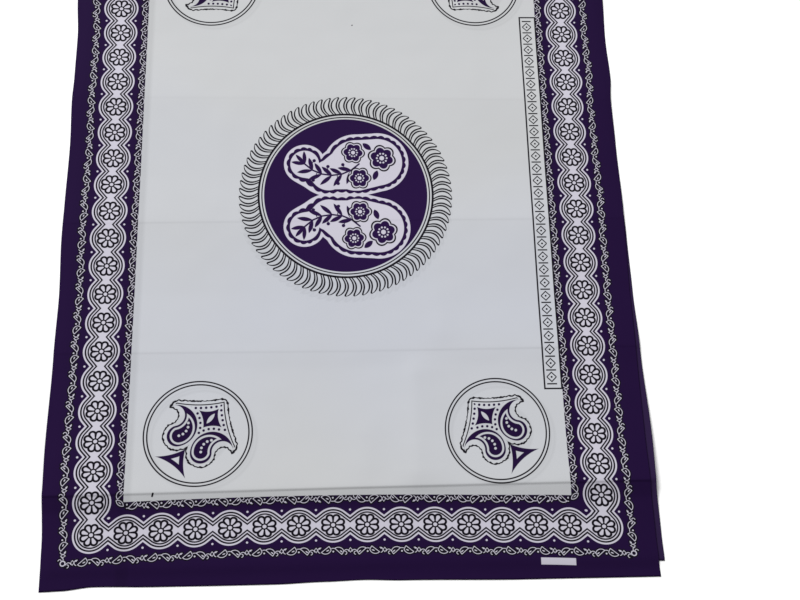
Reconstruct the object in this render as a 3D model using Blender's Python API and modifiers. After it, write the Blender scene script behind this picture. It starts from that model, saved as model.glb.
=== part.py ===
"""Kanga wrap cloth, kept as an uncut pair: one long piece of printed cotton, folded once and laid flat.

Metres, +Z up. The two halves lie on each other. X runs across the cloth, Y along it from the near free
ends to the turned fold, and Z is 0 on the surface it rests on. The origin is at the middle of that face.
A station is a distance along the cloth from the near end, in millimetres, as in the tables below.
"""

from collections import namedtuple
from math import cos, hypot, pi, sin

import bmesh
import bpy

# Driving dimensions -------------------------------------------------------------------------------
MM = 0.001
HALF_LENGTH = 1490.0 * MM  # near end to fold
WALL = 1.2 * MM  # one layer
LAYER_GAP = 0.3 * MM  # between the layers, and at the seam behind the fold

FOLD_RADIUS = 1.0 * MM  # inside the turned fold
FOLD_LIP = 4.0 * MM  # how far the upper half runs back under itself
FOLD_RISE = 30.0 * MM  # stretch over which the upper half climbs to the fold
FOLD_STEPS = 8  # facets round the fold
FOLD_CENTRE = HALF_LENGTH - WALL - FOLD_RADIUS
FOLD_START = FOLD_CENTRE - FOLD_RISE

# The sides of the cloth, from the print's centre line. A row is a station. The under half is pushed
# over to the right, so it shows past the upper half's right edge on the near part of the cloth.
Side = namedtuple("Side", "station upper_left upper_right under_right")
SIDES = (
    Side(-10.0, -545.0, 560.0, 569.5),
    Side(26.0, -545.0, 558.5, 569.5),
    Side(70.0, -545.5, 557.0, 568.0),
    Side(166.0, -550.0, 555.0, 566.5),
    Side(248.0, -551.5, 553.5, 567.5),
    Side(430.0, -548.7, 553.0, 561.5),
    Side(540.0, -547.0, 552.5, 558.5),
    Side(660.0, -550.0, 553.5, 556.5),
    Side(728.0, -549.0, 555.0, 554.5),
    Side(860.0, -547.0, 552.5, 549.0),
    Side(960.0, -549.5, 551.0, 547.0),
    Side(1011.0, -548.0, 555.0, 547.0),
    Side(1105.0, -547.5, 552.0, 546.0),
    Side(1200.0, -552.5, 554.0, 546.0),
    Side(1350.0, -550.0, 552.0, 547.0),
    Side(1520.0, -549.0, 553.0, 548.0),
)
UNDER_LEFT = -538.0 * MM  # hidden below the upper half all along

# The near free ends. A row is a place across the cloth, and the station of each half's edge there.
End = namedtuple("End", "across upper_end under_end")
ENDS = (
    End(-545.0, -5.3, 27.0),
    End(-515.0, -4.4, 27.5),
    End(-455.0, 1.4, 28.0),
    End(-345.0, -0.7, 28.0),
    End(0.0, 2.9, 29.0),
    End(90.0, 1.0, 29.0),
    End(310.0, -2.3, 27.5),
    End(560.0, -2.9, 25.0),
)

# The pressed creases, where the doubled cloth was folded to a width of about 265 mm. Each one is a ridge
# that both halves share. Its line bends a little, so it has a station at the left, middle and right,
# and it stands at its full height times the share given for each of those three places.
Crease = namedtuple("Crease", "left middle right height near_reach far_reach shares")
CREASES = (
    Crease(163.0, 168.5, 172.0, 9.0, 160.0, 225.0, (0.90, 1.00, 0.95)),
    Crease(429.0, 428.0, 431.0, 4.0, 60.0, 110.0, (0.85, 0.60, 1.15)),
    Crease(692.0, 695.0, 697.0, 3.0, 95.0, 60.0, (1.10, 0.80, 0.90)),
    Crease(968.0, 965.0, 961.0, 2.4, 70.0, 80.0, (0.80, 1.00, 1.20)),
    Crease(1226.0, 1229.0, 1228.0, 3.2, 90.0, 75.0, (1.00, 0.75, 0.90)),
)
CREASE_ROUNDING = 4.0 * MM  # radius-like softness of each ridge's top
CREASE_POWER = 1.25  # 1 is a straight roof, and more is hollower towards its feet

# The grid of the mesh: places across, shared by both halves, and rows at and between the creases.
ACROSS = tuple(x * MM for x in (-520, -425, -325, -220, -110, 0, 110, 220, 325, 425, 520))
CREASE_ROWS = tuple(s * MM for s in (-34, -15, -6, 0, 6, 15, 34))
ROWS_BETWEEN = 3
EDGE_PLACE = 545.0 * MM  # where the rows along the cloth's own side edges are read

# The print is not quite in the middle of the cloth, so its centre line is beside the origin.
CENTRE_X = (min(row.upper_left for row in SIDES) + max(row.under_right for row in SIDES)) / 2 * MM
CENTRE_Y = (HALF_LENGTH + ENDS[0].upper_end * MM) / 2

WHITE_GROUND = (0.80, 0.81, 0.83, 1.0)
PURPLE_GROUND = (0.022, 0.008, 0.040, 1.0)


# Reading the tables -------------------------------------------------------------------------------
def eased(rows, column, place):
    """A named column's value at a place in the first column, with a soft turn at each row. In metres."""
    values = [(row[0] * MM, getattr(row, column) * MM) for row in rows]
    if place <= values[0][0]:
        return values[0][1]
    for (low, low_value), (high, high_value) in zip(values, values[1:]):
        if place <= high:
            return low_value + (high_value - low_value) * soft_step((place - low) / (high - low))
    return values[-1][1]


def soft_step(t):
    return t * t * (3 - 2 * t)


def across_three(values, across):
    """A value given at the left, middle and right, read on straight lines between them."""
    left, middle, right = values
    share = max(-1.0, min(1.0, across / ACROSS[-1]))
    return middle + (left - middle) * -share if share < 0 else middle + (right - middle) * share


# The form of the laid cloth -----------------------------------------------------------------------
def crease_station(crease, across):
    return across_three((crease.left, crease.middle, crease.right), across) * MM


def ridge_height(station, across):
    """How far the creases lift both layers at one place."""
    lift = 0.0
    for crease in CREASES:
        distance = station - crease_station(crease, across)
        reach = (crease.near_reach if distance < 0 else crease.far_reach) * MM
        rounded = hypot(distance, CREASE_ROUNDING) - CREASE_ROUNDING
        flank = max(0.0, 1.0 - rounded / reach) ** CREASE_POWER
        lift += crease.height * MM * across_three(crease.shares, across) * flank
    return lift


def between(low, high, count):
    """Evenly spaced places inside a stretch, without its ends."""
    return [low + (high - low) * i / (count + 1) for i in range(1, count + 1)]


def rows_at(across, end_column, last):
    """The stations of all the rows at one place across: near end, creases, and the far stretch."""
    rows = [eased(ENDS, end_column, across)]
    for crease in CREASES:
        ridge = [crease_station(crease, across) + offset for offset in CREASE_ROWS]
        rows += between(rows[-1], ridge[0], ROWS_BETWEEN) + ridge
    rows += between(rows[-1], FOLD_START, ROWS_BETWEEN)
    rows += [FOLD_START, (FOLD_START + last) / 2, last]
    return rows


def fold_lift(station):
    """The upper half's climb from lying on the under half to the top of the turned fold."""
    climbed = (station - FOLD_START) / (FOLD_CENTRE - FOLD_START)
    return (2 * FOLD_RADIUS - LAYER_GAP) * soft_step(max(0.0, min(1.0, climbed)))


# Building -----------------------------------------------------------------------------------------
def grid_sheet(columns, rows):
    """An open grid of quads, with its vertices as a list of columns."""
    sheet = bmesh.new()
    bmesh.ops.create_grid(sheet, x_segments=columns - 1, y_segments=rows - 1, size=1.0)
    order = sorted(sheet.verts, key=lambda v: (round(v.co.x, 5), v.co.y))
    return sheet, [order[i * rows : (i + 1) * rows] for i in range(columns)]


def place(x, station, z):
    return (x - CENTRE_X, station - CENTRE_Y, z)


def edged(left, right):
    """The places across with the cloth's own edges at both ends."""
    return (left,) + ACROSS + (right,)


ROW_PLACES = edged(-EDGE_PLACE, EDGE_PLACE)


def cotton(name, colour):
    material = bpy.data.materials.new(name)
    material.use_nodes = True
    shader = material.node_tree.nodes["Principled BSDF"]
    shader.inputs["Base Color"].default_value = colour
    shader.inputs["Roughness"].default_value = 0.85
    shader.inputs["Metallic"].default_value = 0.0
    return material


def finished(sheet, name, collection, material):
    mesh = bpy.data.meshes.new(name)
    sheet.to_mesh(mesh)
    sheet.free()
    mesh.materials.append(material)
    mesh.shade_smooth()
    piece = bpy.data.objects.new(name, mesh)
    collection.objects.link(piece)
    return piece


def upper_length(collection):
    """The upper half: an open sheet on its underside, through the fold, thickened upwards."""
    straight = len(rows_at(0.0, "upper_end", FOLD_CENTRE))
    sheet, lines = grid_sheet(len(ROW_PLACES), straight + FOLD_STEPS + 1)
    for i, line in enumerate(lines):
        rows = rows_at(ROW_PLACES[i], "upper_end", FOLD_CENTRE)
        path = [(s, WALL + LAYER_GAP + ridge_height(s, ROW_PLACES[i]) + fold_lift(s)) for s in rows]
        for step in range(1, FOLD_STEPS + 1):
            turn = pi * step / FOLD_STEPS
            path.append((FOLD_CENTRE + FOLD_RADIUS * sin(turn), WALL + FOLD_RADIUS * (1 + cos(turn))))
        path.append((FOLD_CENTRE - FOLD_LIP, WALL))
        for vertex, (station, z) in zip(line, path):
            x = edged(eased(SIDES, "upper_left", station), eased(SIDES, "upper_right", station))[i]
            vertex.co = place(x, station, z)
    piece = finished(sheet, "kanga_upper_length", collection, cotton("white printed cotton", WHITE_GROUND))
    thickness = piece.modifiers.new("wall", "SOLIDIFY")
    thickness.thickness = WALL
    thickness.offset = 1.0
    thickness.use_even_offset = True


def under_length(collection):
    """The under half: its top follows the creases and its underside is flat where it rests."""
    last = FOLD_CENTRE - FOLD_LIP - LAYER_GAP
    sheet, lines = grid_sheet(len(ROW_PLACES), len(rows_at(0.0, "under_end", last)))
    for i, line in enumerate(lines):
        for vertex, station in zip(line, rows_at(ROW_PLACES[i], "under_end", last)):
            x = edged(UNDER_LEFT, eased(SIDES, "under_right", station))[i]
            vertex.co = place(x, station, WALL + ridge_height(station, ROW_PLACES[i]))
    skirt = bmesh.ops.extrude_face_region(sheet, geom=sheet.faces[:])
    for vertex in (item for item in skirt["geom"] if isinstance(item, bmesh.types.BMVert)):
        vertex.co.z = 0.0
    bmesh.ops.recalc_face_normals(sheet, faces=sheet.faces[:])
    finished(sheet, "kanga_under_length", collection, cotton("purple printed cotton", PURPLE_GROUND))


def main():
    for old in list(bpy.data.objects):
        bpy.data.objects.remove(old, do_unlink=True)
    collection = bpy.data.collections.new("kanga_wrap_cloth")
    bpy.context.scene.collection.children.link(collection)
    upper_length(collection)
    under_length(collection)


main()
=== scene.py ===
# %% [markdown]
# # A kanga, folded once and laid flat
#
# A kanga is a wrap cloth of thin printed cotton, about 1.5 m by 1.1 m. It has a wide border all round, a
# large motif in the middle and smaller ones in the corners. Kangas are printed one after the other on a
# long length of cotton, and are sold as an uncut pair. This one is such a pair, folded over at the join,
# so one kanga lies on the other. This script dresses the two solids of the model with thin cloth, and
# prints the cloth with shader nodes.

# %% Load the fixed frame
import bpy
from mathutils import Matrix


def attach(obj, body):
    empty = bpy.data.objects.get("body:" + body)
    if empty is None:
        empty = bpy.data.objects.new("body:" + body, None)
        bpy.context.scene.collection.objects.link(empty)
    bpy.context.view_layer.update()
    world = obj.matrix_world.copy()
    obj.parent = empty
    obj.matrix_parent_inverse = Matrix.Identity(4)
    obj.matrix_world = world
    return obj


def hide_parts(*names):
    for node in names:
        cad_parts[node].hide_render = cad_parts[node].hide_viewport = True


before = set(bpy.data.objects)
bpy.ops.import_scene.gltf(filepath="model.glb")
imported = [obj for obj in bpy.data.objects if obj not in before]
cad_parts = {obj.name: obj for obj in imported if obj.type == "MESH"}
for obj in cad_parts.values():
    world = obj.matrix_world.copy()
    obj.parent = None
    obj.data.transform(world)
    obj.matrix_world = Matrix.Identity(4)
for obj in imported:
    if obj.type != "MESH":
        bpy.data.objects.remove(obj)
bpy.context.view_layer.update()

print("solids:", ", ".join(sorted(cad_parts)))

# %% Tools for the whole lesson
from collections import namedtuple
from functools import partial, reduce
from math import acos, atan2, cos, exp, hypot, pi, radians, sin

import bmesh
import bpy
from mathutils import Euler, Vector, noise

MM = 0.001

# %% [markdown]
# ## How the cloth was made and folded
#
# The solids were built from a few short tables: where the sides of the cloth run, where its near ends
# lie, and how high its pressed creases stand. A frame solid can't be bent to take fine folds, so the
# cloth that shows is a new piece on nearly the same form. Its tables are the same but for two things:
# the near edge is given in more places, and the four far creases are lower and wider. A station is a
# distance along the cloth from its near end.

# %% Sizes of the doubled cloth
HALF_LENGTH = 1490.0 * MM
WALL = 1.2 * MM
LAYER_GAP = 0.3 * MM
FOLD_RADIUS = 1.0 * MM
FOLD_CENTRE = HALF_LENGTH - WALL - FOLD_RADIUS
FOLD_RISE = 30.0 * MM
CENTRE_X = 8.5 * MM
CENTRE_Y = 742.35 * MM
COTTON = 0.5 * MM  # one layer of the cloth that shows

Side = namedtuple("Side", "station upper_left upper_right under_right")
SIDES = (
    Side(-10.0, -545.0, 560.0, 569.5),
    Side(26.0, -545.0, 558.5, 569.5),
    Side(70.0, -545.5, 557.0, 568.0),
    Side(166.0, -550.0, 555.0, 566.5),
    Side(248.0, -551.5, 553.5, 567.5),
    Side(430.0, -548.7, 553.0, 561.5),
    Side(540.0, -547.0, 552.5, 558.5),
    Side(660.0, -550.0, 553.5, 556.5),
    Side(728.0, -549.0, 555.0, 554.5),
    Side(860.0, -547.0, 552.5, 549.0),
    Side(960.0, -549.5, 551.0, 547.0),
    Side(1011.0, -548.0, 555.0, 547.0),
    Side(1105.0, -547.5, 552.0, 546.0),
    Side(1200.0, -552.5, 554.0, 546.0),
    Side(1350.0, -550.0, 552.0, 547.0),
    Side(1520.0, -549.0, 553.0, 548.0),
)
UNDER_LEFT = -538.0 * MM

End = namedtuple("End", "across upper_end under_end")
ENDS = (
    End(-545.0, -5.3, 27.0),
    End(-515.0, -4.4, 27.5),
    End(-455.0, 1.4, 28.0),
    End(-345.0, -0.7, 28.0),
    End(-230.0, -1.2, 28.0),
    End(-140.0, -1.2, 28.5),
    End(-50.0, 1.4, 29.0),
    End(20.0, 3.2, 29.0),
    End(90.0, 1.0, 29.0),
    End(310.0, -2.3, 27.5),
    End(560.0, -2.9, 25.0),
)

Crease = namedtuple("Crease", "left middle right height near_reach far_reach shares")
CREASES = (
    Crease(163.0, 168.5, 172.0, 9.0, 160.0, 225.0, (0.90, 1.00, 0.95)),
    Crease(429.0, 428.0, 431.0, 2.4, 170.0, 110.0, (0.85, 0.60, 1.15)),
    Crease(692.0, 695.0, 697.0, 1.8, 140.0, 90.0, (1.10, 0.80, 0.90)),
    Crease(968.0, 965.0, 961.0, 1.3, 120.0, 110.0, (0.80, 1.00, 1.20)),
    Crease(1226.0, 1229.0, 1228.0, 2.2, 110.0, 95.0, (1.00, 0.75, 0.90)),
)
CREASE_ROUNDING = 4.0 * MM
CREASE_POWER = 1.25
REACH_ACROSS = 520.0 * MM  # where a crease's left and right values hold
print(f"{len(CREASES)} pressed creases, {CREASES[1].middle - CREASES[0].middle:.0f} mm apart")

# %% Read the tables
def soft_step(t):
    t = max(0.0, min(1.0, t))
    return t * t * (3 - 2 * t)


def eased(rows, column, place):
    """A named column's value at a place in the first column, with a soft turn at each row. In metres."""
    values = [(row[0] * MM, getattr(row, column) * MM) for row in rows]
    if place <= values[0][0]:
        return values[0][1]
    for (low, low_value), (high, high_value) in zip(values, values[1:]):
        if place <= high:
            return low_value + (high_value - low_value) * soft_step((place - low) / (high - low))
    return values[-1][1]


def across_three(values, x):
    """A value given at the left, middle and right, read on straight lines between them."""
    left, middle, right = values
    share = max(-1.0, min(1.0, x / REACH_ACROSS))
    return middle + (left - middle) * -share if share < 0 else middle + (right - middle) * share


def crease_station(crease, x):
    return across_three((crease.left, crease.middle, crease.right), x) * MM


print(f"near edge at the middle: station {eased(ENDS, 'upper_end', 0.0) / MM:.1f} mm")

# %% [markdown]
# ## A print that is worked out, not drawn
#
# The ink of a kanga could be painted as an image, but a formula stays sharp at any distance and every
# repeat of a motif comes from one drawing. Each motif below is a *distance*: a number that is negative
# where the ink goes and positive around it, in flowers of the border as its unit. A disc is the distance
# to its centre less its radius, the smallest of two distances joins two shapes, and the largest keeps
# what they share.
#
# Shader nodes can do these sums, but hundreds of Math nodes are tedious to wire by hand. The small class
# `Amount` holds a socket, so that `a + b` adds a Math node and its links.

# %% Numbers that are nodes
class Amount:
    """A number that changes over the cloth: an output socket. On it, + - * and abs build Math nodes."""

    def __init__(self, socket):
        self.socket = socket

    def __add__(self, other):
        return math_node("ADD", self, other)

    def __sub__(self, other):
        return math_node("SUBTRACT", self, other)

    def __rsub__(self, other):
        return math_node("SUBTRACT", other, self)

    def __mul__(self, other):
        return math_node("MULTIPLY", self, other)

    def __neg__(self):
        return math_node("MULTIPLY", self, -1.0)

    def __abs__(self):
        return math_node("ABSOLUTE", self)

    __radd__ = __add__
    __rmul__ = __mul__


def wire(socket, value):
    """Link an Amount into a socket, or set a plain value there."""
    if isinstance(value, Amount):
        socket.id_data.links.new(value.socket, socket)
    else:
        socket.default_value = value


def new_node(kind, *values, **settings):
    """A node in the tree of the first Amount given, with its inputs filled in order."""
    tree = next(value.socket.id_data for value in values if isinstance(value, Amount))
    node = tree.nodes.new(kind)
    for name, setting in settings.items():
        setattr(node, name, setting)
    for socket, value in zip(node.inputs, values):
        wire(socket, value)
    return node


def math_node(operation, *values, clamp=False):
    return Amount(new_node("ShaderNodeMath", *values, operation=operation, use_clamp=clamp).outputs[0])


# %% Places that are nodes
def vector_node(operation, place, constant=(0.0, 0.0, 0.0), output="Value"):
    node = new_node("ShaderNodeVectorMath", place, constant, operation=operation)
    return Amount(node.outputs[output])


def place_at(x, y):
    """A place on the print. Its third number is 1, so that a dot product can add a constant as well."""
    return Amount(new_node("ShaderNodeCombineXYZ", x, y, 1.0).outputs[0])


def parts_of(place):
    x, y = new_node("ShaderNodeSeparateXYZ", place).outputs[:2]
    return Amount(x), Amount(y)


def moved(place, x, y):
    """The same place, seen from (x, y)."""
    return vector_node("SUBTRACT", place, (x, y, 0.0), "Vector")


def distance(place, x, y):
    return vector_node("DISTANCE", place, (x, y, 1.0))


def slope(place, across, along, start=0.0):
    """across * x + along * y + start."""
    return vector_node("DOT_PRODUCT", place, (across, along, start))


def turned(place, turn):
    """The same place, seen from axes turned by an angle."""
    return place_at(slope(place, cos(turn), sin(turn)), slope(place, -sin(turn), cos(turn)))


def noise_at(place, scale, detail=2.0, rough=0.5):
    node = new_node("ShaderNodeTexNoise", place)
    for name, value in (("Scale", scale), ("Detail", detail), ("Roughness", rough)):
        node.inputs[name].default_value = value
    return Amount(node.outputs["Fac"])


# %% Joining and bending numbers
def smallest(*values):
    return reduce(partial(math_node, "MINIMUM"), values)


def largest(*values):
    return reduce(partial(math_node, "MAXIMUM"), values)


def melted(one, other, reach):
    """Two shapes joined with a soft fillet between them."""
    return math_node("SMOOTH_MIN", one, other, reach)


def rounded(one, other, reach):
    """What two shapes share, with its corners rounded."""
    return math_node("SMOOTH_MAX", one, other, reach)


def length(x, y):
    return math_node("SQRT", math_node("MULTIPLY_ADD", x, x, y * y))


def chosen(mask, yes, no):
    """One number where the mask is 1, and the other where it is 0."""
    return math_node("MULTIPLY_ADD", mask, yes - no, no)


def folded(value, half_period):
    """A number that runs up to half a period and back again, over and over."""
    return math_node("PINGPONG", value, half_period)


# %% Discs, lines and leaves
def disc(place, x, y, radius):
    return distance(place, x, y) - radius


def line(shape, half_width):
    """A line along the edge of a shape."""
    return abs(shape) - half_width


def ring(place, x, y, radius, half_width):
    return line(disc(place, x, y, radius), half_width)


def bow(start, end, depth):
    """The circle through two points that bows in between them by a depth: x, y and radius."""
    run, rise = end[0] - start[0], end[1] - start[1]
    span = hypot(run, rise)
    radius = (span * span / 4 + depth * depth) / (2 * depth)
    out = (radius - depth) / span
    return (start[0] + end[0]) / 2 + rise * out, (start[1] + end[1]) / 2 - run * out, radius


def leaf(place, base, tip, half_width):
    """A pointed leaf: what two equal discs share."""
    *one, radius = bow(tip, base, half_width)
    *other, radius = bow(base, tip, half_width)
    return largest(distance(place, *one), distance(place, *other)) - radius


def taper(place, start, end):
    """Two discs and all that lies between them. Each is given as x, y and radius."""
    (x, y, radius), (end_x, end_y, end_radius) = start, end
    span = hypot(end_x - x, end_y - y)
    run, rise = (end_x - x) / span, (end_y - y) / span
    up = slope(place, run, rise, -x * run - y * rise)
    aside = slope(place, -rise, run, x * rise - y * run)
    share = math_node("MULTIPLY", up, 1 / span, clamp=True)
    return length(up - share * span, aside) - share * (end_radius - radius) - radius


def stroke(place, start, end, half_width):
    """A short stroke with round ends."""
    return taper(place, (*start, half_width), (*end, half_width))


# %% Things that repeat round a middle
def sector(place, count, start=0.0):
    """Fold the place into one of `count` sectors: how far out it is, and its turn off the middle."""
    x, y = parts_of(place)
    turn = math_node("ARCTAN2", y, x) - start
    return distance(place, 0.0, 0.0), math_node("WRAP", turn, pi / count, -pi / count)


def bead_ring(place, count, ring_radius, bead_radius, start=0.0):
    """Beads set evenly round a ring about the origin."""
    out, turn = sector(place, count, start)
    return length(out - ring_radius, turn * ring_radius) - bead_radius


# %% [markdown]
# ### The flower chain
#
# The border is a chain of discs round the whole cloth, each with an eight-petalled flower. The discs
# meet in necks, where their double outlines run straight into a point. One drawing serves all four
# sides: the place is first folded, so that `along` runs from the nearest corner and `across` towards
# the field.

# %% One disc of the chain
DISC = 0.55  # radius of the white disc
NECK = 0.30  # half the height of the opening between two discs
DARK_RINGS = ((0.390, 0.023), (0.4725, 0.0255))  # radius and half width
NECK_TURN = atan2(NECK, 0.5) + acos(DISC / hypot(0.5, NECK))  # where the outline leaves the circle
NECK_BEAD = (0.475, 0.032)  # how far from the chain's middle line, and its radius
PETAL_START, PETAL_LENGTH = 0.125, 0.11
PETAL_WIDTH, PETAL_FLARE = 0.026, 0.031  # half its width at the start, and how much more at the tip
PETAL_LINE = 0.066
HEART, HEART_BEAD = 0.112, 0.056  # radius of the flower's dark heart and of the white bead in it
FLOWER_STRETCH = (1.03, 0.075)  # on the long sides, and how much less on the short ones


def chain_radius(x, y):
    """How far out of a disc a place is, with straight stretches that lead to the necks."""
    place = place_at(x, y)
    outward = slope(place, cos(NECK_TURN), sin(NECK_TURN))
    past = largest(slope(place, -sin(NECK_TURN), cos(NECK_TURN)), 0.0)
    return length(outward, past)


def border_flower(x, y):
    """An eight-petalled flower in black outline, with a bead in its middle."""
    out, turn = sector(place_at(x, y), 8, pi / 8)
    up = out * math_node("COSINE", turn) - PETAL_START
    aside = out * math_node("SINE", turn)
    share = math_node("MULTIPLY", up, 1 / PETAL_LENGTH, clamp=True)
    petal = length(up - share * PETAL_LENGTH, aside) - share * PETAL_FLARE - PETAL_WIDTH
    return largest(smallest(petal - PETAL_LINE, out - HEART), -petal, HEART_BEAD - out)


def chain(x, y, neck, short_side):
    """The chain's white band as a distance, and its black lines."""
    out = chain_radius(x, y)
    rings = smallest(*(line(out - radius, half_width) for radius, half_width in DARK_RINGS))
    stretch, less = FLOWER_STRETCH
    black = smallest(rings, border_flower(x * (stretch - short_side * less), y))
    beads = length(x - neck, y - NECK_BEAD[0]) - NECK_BEAD[1]
    return smallest(out - DISC, beads), black


# %% [markdown]
# ### The vine
#
# A thin white vine runs along both sides of the chain. Its repeat is as long as a disc: a small lozenge,
# a curl, a leaf, a bead, a second leaf and a bead. The repeat is mirrored on the other side of the chain
# and in the middle of each side of the cloth, so one drawing serves all of it again.

# %% One repeat of the vine
VINE_LINE = 0.0120  # half the width of its line
BEAD = 0.027
POD_BACK = 0.166  # radius of a leaf's round back


def pod(place, back, belly, tip, span):
    """A leaf as a white line: round at the back, straight at the belly, cut at a span from its tip."""
    body = largest(disc(place, *back, POD_BACK), distance(place, *tip) - span)
    return line(rounded(body, slope(place, *belly), 0.03), VINE_LINE)


def arc(place, centre, radius, across, along, start):
    """The part of a ring on one side of a straight cut."""
    return largest(ring(place, *centre, radius, VINE_LINE), slope(place, across, along, start))


def vine(x, y):
    """White lines. x points to the chain and y away from the corner, with a lozenge at the origin."""
    place = place_at(x, y)
    mirrored = place_at(x, abs(y))
    return smallest(
        line(abs(x) * 0.75 + abs(y) - 0.052, VINE_LINE),
        arc(place, (-0.06, -0.115), 0.072, -1.0, 0.0, -0.055),
        arc(place, (-0.09, -0.152), 0.046, 0.0, -1.0, -0.155),
        pod(place, (-0.080, -0.355), (-0.733, -0.680, -0.272), (0.085, -0.52), 0.345),
        leaf(place, (-0.075, -0.225), (-0.01, -0.31), 0.018),
        pod(place, (0.048, 0.275), (0.775, -0.632, 0.150), (-0.10, 0.10), 0.350),
        leaf(place, (0.005, 0.385), (-0.035, 0.29), 0.018),
        arc(place, (-0.008, 0.130), 0.078, -0.2, 1.0, -0.138),
        disc(place, 0.050, 0.104, BEAD),
        disc(mirrored, -0.045, 0.5, BEAD),
        stroke(mirrored, (0.055, 0.5), (0.050, 0.45), VINE_LINE),
    )


# %% The whole border
PITCH_RATIO = 0.93  # the discs of the long sides lie a little closer than those of the short ones
CHAIN_SIDE = 7.5  # the middle line of the chain, from the middle of the cloth
LAST_ROW = 23 * PITCH_RATIO  # the chain's far line, from its near line
FIELD_INSET = 0.90  # from the chain to the white field
VINE_INSET = 0.78
VINE_SHADE = 0.036  # how far the black that edges the vine reaches from it
Vine = namedtuple("Vine", "rate offset start")
OUTER_VINE = Vine(1 / (1.0083 * PITCH_RATIO), 0.6 / 1.0083, -0.70)
INNER_VINE = Vine(1 / (0.998 * PITCH_RATIO), -1.52 / 0.998, 0.98)
CORNER_RING = (-VINE_INSET, -VINE_INSET, 0.070, 0.018)
CORNER_LEAF = ((0.69, 0.96), (0.90, 0.79), 0.062)
CORNER_VEIN = ((0.75, 0.91), (0.84, 0.84), 0.014)
CORNER_BEAD = (0.485, 0.47, 0.034)


def border(u, v):
    """The purple and black of the border, and the whole border with all its ground, as distances."""
    inside_u = CHAIN_SIDE - abs(u)
    inside_v = LAST_ROW / 2 - abs(v - LAST_ROW / 2)
    short_side = math_node("LESS_THAN", inside_v, inside_u)
    along = largest(inside_u, inside_v)
    across = smallest(inside_u, inside_v)
    neck = short_side * (0.5 - PITCH_RATIO / 2) + PITCH_RATIO / 2
    x = smallest(folded(along, neck), along)
    white, black = chain(x, abs(across), neck, short_side)
    outer = math_node("LESS_THAN", across, 0.0)
    rate = chosen(outer, OUTER_VINE.rate, INNER_VINE.rate)
    offset = chosen(outer, OUTER_VINE.offset, INNER_VINE.offset)
    repeats = chosen(short_side, -abs(u), math_node("MULTIPLY_ADD", inside_v, rate, offset))
    repeat = math_node("FRACT", repeats + 0.5) - 0.5
    strands = vine(VINE_INSET - abs(across), repeat)
    start = chosen(outer, OUTER_VINE.start, INNER_VINE.start)
    strands = largest(strands, start - along)
    corner = place_at(inside_u, inside_v)
    strands = smallest(strands, ring(corner, *CORNER_RING))
    strands = smallest(strands, line(leaf(corner, *CORNER_LEAF), VINE_LINE), leaf(corner, *CORNER_VEIN))
    white = smallest(white, strands, disc(corner, *CORNER_BEAD))
    field = FIELD_INSET - smallest(inside_u, inside_v)
    black = smallest(black, largest(strands - VINE_SHADE, -strands, -field))
    return largest(-white, -field), black, -field


# %% [markdown]
# ### The middle motif
#
# The middle of the cloth has a purple disc in a ring of curled feathers, with two mango shapes in it,
# the second the mirror image of the first. A mango is two tapering strokes and a disc for its curled
# end, which melts into the body below and meets it in a sharp notch above. The sprig inside grows by a
# rule: pairs of leaves along a bent stem, and a berry on a twig between each two pairs.

# %% The ring of feathers
DISC_EDGE = 2.64
FEATHERS = 78
FEATHER_ROOT = 2.84
FEATHER_LENGTH = 0.60
FEATHER_PITCH = 2 * pi * (FEATHER_ROOT + FEATHER_LENGTH / 2) / FEATHERS
FEATHER_BEND = (2.13, 2.0)
FEATHER_WIDTH = 0.33  # half of it, where one pitch is 1
FEATHER_LINE = 0.026
DISC_LINES = ((2.815, 0.034), (2.71, 0.020))  # radius and half width


def feather_ring(place):
    """Black outlines of feathers that curl one way round."""
    x, y = parts_of(place)
    height = (length(x, y) - FEATHER_ROOT) * (1 / FEATHER_LENGTH)
    lean = height * (height * FEATHER_BEND[0] - FEATHER_BEND[1])
    turn = math_node("ARCTAN2", x, y) * (FEATHERS / (2 * pi)) - lean
    tip = math_node("POWER", height, 8.0, clamp=True)
    width = math_node("SQRT", 1.0 - tip) * FEATHER_WIDTH
    outline = line((folded(turn, 0.5) - width) * FEATHER_PITCH, FEATHER_LINE)
    return largest(outline, -height, height - 1.02)


# %% The mango shape
BIG_END = (1.05, 1.11, 1.03)  # x, y and radius, from the middle of the disc
BELLY = (0.35, 1.00, 1.10)
WAIST = (-0.55, 0.66, 0.74)
CURL = (-1.35, 1.05, 0.68)
NOTCH_LEVEL = 1.1  # the curled end melts into the body below this, and meets it sharply above
MIRROR_LINE = 0.033  # how far below the middle the two mangoes meet
SCALLOP = 0.27
STRAIGHT = 4 * SCALLOP  # how far from the middle the scallops are counted along x
END_MIDDLE = 1.1  # the height of the point round which they are counted past that
RIGHT_SCALLOPS, LEFT_SCALLOPS = 12, 9  # how many go to half a turn


def mango(place):
    body = smallest(taper(place, BIG_END, BELLY), taper(place, BELLY, WAIST))
    melt = math_node("MAXIMUM", slope(place, 0.0, -1.0, NOTCH_LEVEL), 0.0, clamp=True)
    return melted(body, disc(place, *CURL), melt)


def scallops(place):
    """How far the scalloped band bulges: counted by turn round the mango's ends, and by x between."""
    x, y = parts_of(place)
    turn = math_node("ARCTAN2", abs(x) - STRAIGHT, y - END_MIDDLE)
    right = math_node("GREATER_THAN", x, 0.0)
    counted = turn * chosen(right, RIGHT_SCALLOPS * SCALLOP / pi, LEFT_SCALLOPS * SCALLOP / pi)
    count = chosen(math_node("GREATER_THAN", abs(x), STRAIGHT), counted, x)
    return math_node("SINE", folded(count, SCALLOP / 2) * (pi / SCALLOP))


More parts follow.
